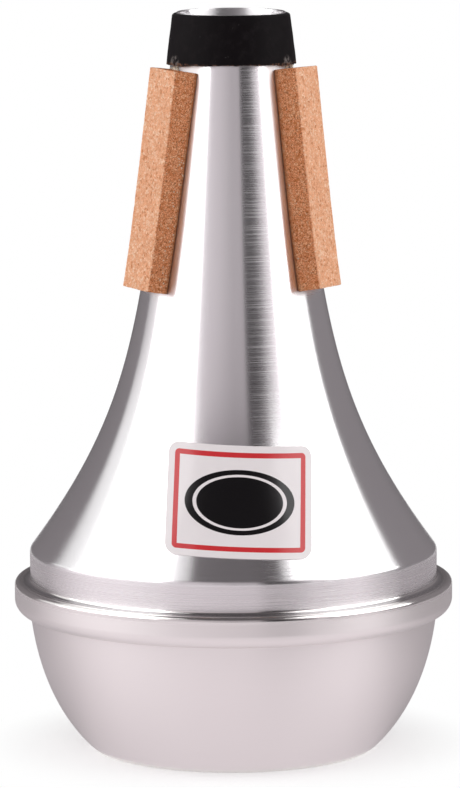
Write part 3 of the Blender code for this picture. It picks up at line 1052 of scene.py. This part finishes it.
def make_strip(side, azimuth, drop, material):
    """One cork strip, with its granules and pits."""
    top_z = COLLAR_FOOT_Z - STRIP_COLLAR_GAP - drop
    work = divided_cube(STRIP_SQUARES)
    half = Vector((STRIP_WIDTH / 2, STRIP_THICKNESS / 2, STRIP_LENGTH / 2))
    shift = Vector((azimuth, azimuth * 2, 0.0))
    cut = work.verts.layers.float.new("cut")
    joint_shade = work.verts.layers.float.new("joint_shade")
    flat_places = {}
    for vertex in work.verts:
        flat = rounded(Vector([value * size for value, size in zip(vertex.co, half)]), half, STRIP_EDGE_ROUND)
        flat_places[vertex.index] = flat + shift
        vertex[cut] = 0.0 if vertex.co.y < -0.99 else 1.0
        depth = 0.5 - flat.y / STRIP_THICKNESS
        # Painted shade along the joint with the metal: 1 at the metal, fading out over the joint's width.
        vertex[joint_shade] = max(0.0, 1.0 - depth * STRIP_THICKNESS / JOINT_SHADE_WIDTH)
        vertex.co = strip_point(flat.x, flat.z / STRIP_LENGTH + 0.5, depth, top_z, azimuth)
    work.normal_update()
    moves = []
    for vertex in work.verts:
        flat = flat_places[vertex.index]
        glued = (flat - shift).y > GLUED_FROM
        moves.append(Vector() if glued else vertex.normal * cork_relief(flat, int(vertex[cut])))
    for vertex, move in zip(work.verts, moves):
        vertex.co += move
    mesh = finished("cork_" + side, work)
    shade_smooth(mesh, STRIP_SHARP_EDGE)
    dress(new_object("cork_" + side, mesh, material), "cork_strip_" + side)


# %% [markdown]
# ## Cork
# Pressed cork is a mass of granules under a millimetre wide, light tan with curls of brown bark
# between them. An image of cork would have to be wrapped round a bar and would stretch at its edges.
# Voronoi cells fill space like real granules, so every cut face shows its own section through them.
# The sanded outer face is paler than the sawn sides and ends: these carry more bark, and a darker
# tint on them is painted shade. Painted shade also darkens the cork along its joint with the metal.

# %% Cork finish
CORK_PALE = (0.98, 0.61, 0.41)
CORK_TAN = (0.93, 0.48, 0.29)
CORK_BROWN = (0.44, 0.130, 0.042)
CORK_BARK = (0.13, 0.036, 0.013)
CORK_LIGHT_CHIP = (1.0, 0.70, 0.50)
CORK_RUST = (0.66, 0.26, 0.12)
CORK_SIDE_SHADE_TINT = (0.86, 0.72, 0.60)
GRANULES_PER_METRE = 1350.0
GRANULE_WOBBLE = 0.9 * MM
GRANULE_TONES = ((0.0, CORK_RUST), (0.14, CORK_TAN), (0.5, CORK_TAN), (0.8, CORK_PALE), (1.0, CORK_LIGHT_CHIP))
GRAIN_DEPTH = 0.10 * MM
CURL_SHARE = 0.42
PATCH_SHARE = 0.12
JOINT_SHADE_SHARE = 0.80
# Shares on the sanded face and on the sawn ones.
SEAM_SHARES = (0.28, 0.75)
BARK_SHARES = (0.12, 0.80)
FINE_SHARES = (0.15, 0.42)


def ramp(tree, value, stops):
    """Colours along a value from 0 to 1."""
    made = add(tree, "ShaderNodeValToRGB", {"Fac": value})
    elements = made.color_ramp.elements
    while len(elements) < len(stops):
        elements.new(1.0)
    for element, (place, colour) in zip(elements, stops):
        element.position = place
        element.color = (*colour, 1.0)
    return made.outputs["Color"]


def cork():
    """Granules of tan cork with brown bark between them."""
    material, tree, shader = new_material("pressed_cork")
    place = object_place(tree)
    sawn = stored(tree, "cut")
    wander = noise_at(tree, place, 700.0)
    wobble = add(tree, "ShaderNodeCombineXYZ", {0: wander, 1: wander, 2: wander}).outputs[0]
    push = add(tree, "ShaderNodeVectorMath", {0: wobble, "Scale": GRANULE_WOBBLE}, operation="SCALE").outputs[0]
    bent = add(tree, "ShaderNodeVectorMath", {0: place, 1: push}, operation="ADD").outputs[0]
    inputs = {"Vector": bent, "Scale": GRANULES_PER_METRE}
    cells = add(tree, "ShaderNodeTexVoronoi", inputs).outputs["Color"]
    edges = add(tree, "ShaderNodeTexVoronoi", inputs, feature="DISTANCE_TO_EDGE").outputs["Distance"]
    colour = ramp(tree, add(tree, "ShaderNodeSeparateColor", {0: cells}).outputs[0], GRANULE_TONES)
    curls = noise_at(tree, bent, 1100.0, 2.0, 0.6, 1.6)
    bark = span(tree, noise_at(tree, bent, 1900.0, 2.0, 0.6), 0.57, 0.64)
    patches = noise_at(tree, place, 160.0, 3.0, 0.6)
    layers = (
        (times(tree, fade(tree, edges, 0.0, 0.16), span(tree, sawn, 0.0, 1.0, *SEAM_SHARES)), CORK_BROWN),
        (times(tree, band(tree, curls, 0.48, 0.52, 0.02), CURL_SHARE), CORK_BROWN),
        (times(tree, bark, span(tree, sawn, 0.0, 1.0, *BARK_SHARES)), CORK_BARK),
        (span(tree, patches, 0.35, 0.7, 0.0, PATCH_SHARE), CORK_BROWN),
    )
    for share, layer in layers:
        colour = mix_colour(tree, share, colour, layer)
    # Painted shade: the sawn sides and ends are tinted darker than the sanded face.
    colour = mix_colour(tree, sawn, colour, CORK_SIDE_SHADE_TINT, "MULTIPLY")
    fine = fade(tree, noise_at(tree, place, 3400.0, 2.0, 0.7), 0.35, 0.55)
    colour = mix_colour(tree, times(tree, fine, span(tree, sawn, 0.0, 1.0, *FINE_SHARES)), colour, CORK_BROWN)
    # Painted shade: the cork darkens towards its joint with the metal.
    colour = mix_colour(tree, times(tree, stored(tree, "joint_shade"), JOINT_SHADE_SHARE), colour, CORK_BARK)
    feed(tree, shader, {
        "Base Color": colour,
        "Normal": relief(tree, maths(tree, "ADD", edges, noise_at(tree, place, 4000.0)), GRAIN_DEPTH),
        "Roughness": 0.85,
        "Specular IOR Level": 0.04,
    })
    return material


cork_finish = cork()
for strip_side, strip_azimuth, strip_drop in STRIPS:
    make_strip(strip_side, strip_azimuth, strip_drop, cork_finish)

# %% [markdown]
# ## Glue
# The strips are stuck on by hand, and a little of the glue shows: cream lumps between the collar and
# the strips, and crumbs on the sawn cork. It could be painted into the other finishes as spots, but
# real glue stands proud and hides the metal. So each lump is a small ball, flattened and dented, and
# sits on the surface where the brush would have left it.

# %% Make lumps of glue
GLUE_CREAM = (0.95, 0.84, 0.68)
GLUE_CRUMB = (0.80, 0.60, 0.42)
CRUMBS = {"left": 46, "right": 14, "rear": 14}
LUMPS_ABOVE_STRIP = 16
LUMPS_OUTER = math.radians(9)
GLUE_SEED = 5
LUMP_DENT = 0.6
LUMP_DENT_SIZE = 0.5 * MM


def glue(name, colour, thin, thick):
    """Dried glue, clearer in some places than in others."""
    material, tree, shader = new_material(name)
    place = object_place(tree)
    tone = span(tree, noise_at(tree, place, 1500.0), 0.35, 0.65)
    feed(tree, shader, {
        "Base Color": mix_colour(tree, tone, colour, tuple(part * 0.75 for part in colour)),
        "Alpha": span(tree, noise_at(tree, place, 700.0, 3.0, 0.6), 0.35, 0.65, thin, thick),
        "Roughness": 0.35,
    })
    return material


def lump(work, place, outward, size, flatness):
    """A small flattened ball on a surface."""
    turned = outward.to_track_quat("Z", "Y").to_matrix().to_4x4()
    shape = Matrix.Translation(place) @ turned @ Matrix.Diagonal((size, size, size * flatness, 1.0))
    made = bmesh.ops.create_icosphere(work, subdivisions=2, radius=1.0, matrix=shape)
    for vertex in made["verts"]:
        vertex.co += (vertex.co - place) * LUMP_DENT * noise.noise(vertex.co / LUMP_DENT_SIZE)


def finish_lumps(name, work, material):
    """Make one object of the lumps."""
    mesh = finished(name, work)
    mesh.shade_smooth()
    lumps = new_object(name, mesh, material)
    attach(lumps, "root")
    print(name, "has", len(mesh.polygons), "faces")


# %% Strew the crumbs
dice = random.Random(GLUE_SEED)
crumbs = bmesh.new()
for strip_side, strip_azimuth, strip_drop in STRIPS:
    strip_top_z = COLLAR_FOOT_Z - STRIP_COLLAR_GAP - strip_drop
    for count in range(CRUMBS[strip_side]):
        edge = 1 if strip_side == "left" else dice.choice((-1, 1))
        along = dice.uniform(0.03, 0.62)
        depth = dice.uniform(0.08, 0.50) * (1.0 - 0.4 * along)
        place = strip_point(edge * STRIP_WIDTH / 2, along, depth, strip_top_z, strip_azimuth)
        outward = Matrix.Rotation(strip_azimuth, 3, "Z") @ Vector((edge, 0.0, 0.0))
        lump(crumbs, place, outward, dice.uniform(0.12, 0.34) * MM, 0.5)
finish_lumps("glue_crumbs", crumbs, glue("glue_crumb", GLUE_CRUMB, 0.75, 0.95))

# %% Put lumps between the collar and the strips
lumps_above = bmesh.new()
for strip_side, strip_azimuth, strip_drop in STRIPS:
    for count in range(LUMPS_ABOVE_STRIP):
        outer = math.copysign(LUMPS_OUTER, strip_azimuth)
        azimuth = strip_azimuth + outer + math.radians(dice.uniform(-9, 9))
        height = COLLAR_FOOT_Z - dice.uniform(-0.1, 2.3) * MM
        radius, widening = flare_at(height)
        outward = direction(azimuth)
        place = outward * (radius + 0.1 * MM) + Vector((0.0, 0.0, height))
        lump(lumps_above, place, outward, dice.uniform(0.55, 1.05) * MM, 0.40)
finish_lumps("glue_lumps", lumps_above, glue("glue_cream", GLUE_CREAM, 0.55, 0.92))

# %% [markdown]
# ## The label
# A film label is stuck on the front of the flare and bends both ways with it. A flat plane could be
# shrink-wrapped onto the metal, but its print would stretch. Here each point of a flat rounded
# rectangle is walked up the outline and round the axis by its true length, and keeps its flat place
# as a UV, so that the print can be drawn in real millimetres.

# %% Lay the label on the flare
LABEL_WIDTH = 50.0 * MM
LABEL_HEIGHT = 40.0 * MM
LABEL_FILM = 0.2 * MM
LABEL_CORNER_ROUND = 4.0 * MM
LABEL_RISE = 28.0 * MM
LABEL_TILT = math.radians(-3)
LABEL_SEAT = 0.03 * MM
LABEL_COLUMNS = 100
LABEL_ROWS = 80


def label_half_width(along):
    """Half the label's width at a height from its middle."""
    into_corner = abs(along) - (LABEL_HEIGHT / 2 - LABEL_CORNER_ROUND)
    if into_corner <= 0.0:
        return LABEL_WIDTH / 2
    left_over = math.sqrt(max(0.0, LABEL_CORNER_ROUND ** 2 - into_corner ** 2))
    return LABEL_WIDTH / 2 - LABEL_CORNER_ROUND + left_over


def on_flare(across, along):
    """Place a point of the flat label on the flare."""
    turned_across = across * math.cos(LABEL_TILT) - along * math.sin(LABEL_TILT)
    turned_along = across * math.sin(LABEL_TILT) + along * math.cos(LABEL_TILT)
    point, outward = flare_from_foot(LABEL_RISE + turned_along)
    angle = turned_across / point.x
    point = point + outward * LABEL_SEAT
    return Vector((point.x * math.sin(angle), -point.x * math.cos(angle), point.y))


def make_label(material):
    """A rounded rectangle of film."""
    work = bmesh.new()
    bmesh.ops.create_grid(work, x_segments=LABEL_COLUMNS, y_segments=LABEL_ROWS, size=1.0)
    print_map = work.loops.layers.uv.new("print")
    flat = {}
    for vertex in work.verts:
        along = math.sin(vertex.co.y * UP) * LABEL_HEIGHT / 2
        flat[vertex] = (vertex.co.x * label_half_width(along), along)
    for face in work.faces:
        for corner in face.loops:
            across, along = flat[corner.vert]
            corner[print_map].uv = (across / LABEL_WIDTH + 0.5, along / LABEL_HEIGHT + 0.5)
    for vertex in work.verts:
        vertex.co = on_flare(*flat[vertex])
    label = new_object("film_label", finished("film_label", work), material)
    solidify = label.modifiers.new("Film", "SOLIDIFY")
    solidify.thickness = LABEL_FILM
    solidify.offset = 1.0
    shade_smooth(settle(label), SHARP_EDGE)
    dress(label, "label")


# %% [markdown]
# ## The label's print
# The print is generic: a red line that follows the label's edge, and a black oval with a thin white
# ring. It could be painted as an image. Drawn with distances instead, its edges stay crisp at any
# size: a point is red where it lies between two distances from the label's edge, and black where it
# lies inside the oval.

# %% Print the label
LABEL_WHITE = (0.85, 0.785, 0.80)
LABEL_RED = (0.62, 0.032, 0.038)
LABEL_BLACK = (0.005, 0.0042, 0.005)
RED_LINE = (2.4, 4.2)
OVAL_ACROSS = 18.6
OVAL_UP = 11.6
RING = (1.7, 2.5)
PRINT_EDGE = 0.06
RIPPLE_DEPTH = 0.05 * MM


def label_print():
    """White film with a red line and a black oval. Its lengths are in millimetres."""
    material, tree, shader = new_material("printed_film")
    flat = parts_of(tree, add(tree, "ShaderNodeUVMap", uv_map="print").outputs[0])
    places, past = [], []
    for part, size in ((flat[0], LABEL_WIDTH), (flat[1], LABEL_HEIGHT)):
        place = times(tree, maths(tree, "SUBTRACT", part, 0.5), size / MM)
        past.append(maths(tree, "SUBTRACT", maths(tree, "ABSOLUTE", place), (size / 2 - LABEL_CORNER_ROUND) / MM))
        places.append(place)
    outside = flat_length(tree, *(maths(tree, "MAXIMUM", value, 0.0) for value in past))
    inside = maths(tree, "MINIMUM", maths(tree, "MAXIMUM", *past), 0.0)
    from_edge = maths(tree, "SUBTRACT", LABEL_CORNER_ROUND / MM, maths(tree, "ADD", outside, inside))
    stretched = [maths(tree, "DIVIDE", place, size) for place, size in zip(places, (OVAL_ACROSS, OVAL_UP))]
    into_oval = times(tree, maths(tree, "SUBTRACT", 1.0, flat_length(tree, *stretched)), OVAL_UP)
    colour = mix_colour(tree, band(tree, from_edge, *RED_LINE, PRINT_EDGE), LABEL_WHITE, LABEL_RED)
    colour = mix_colour(tree, span(tree, into_oval, -PRINT_EDGE, PRINT_EDGE), colour, LABEL_BLACK)
    feed(tree, shader, {
        "Base Color": mix_colour(tree, band(tree, into_oval, *RING, PRINT_EDGE), colour, LABEL_WHITE),
        "Normal": relief(tree, noise_at(tree, object_place(tree), 90.0), RIPPLE_DEPTH),
        "Roughness": 0.14,
    })
    return material


make_label(label_print())
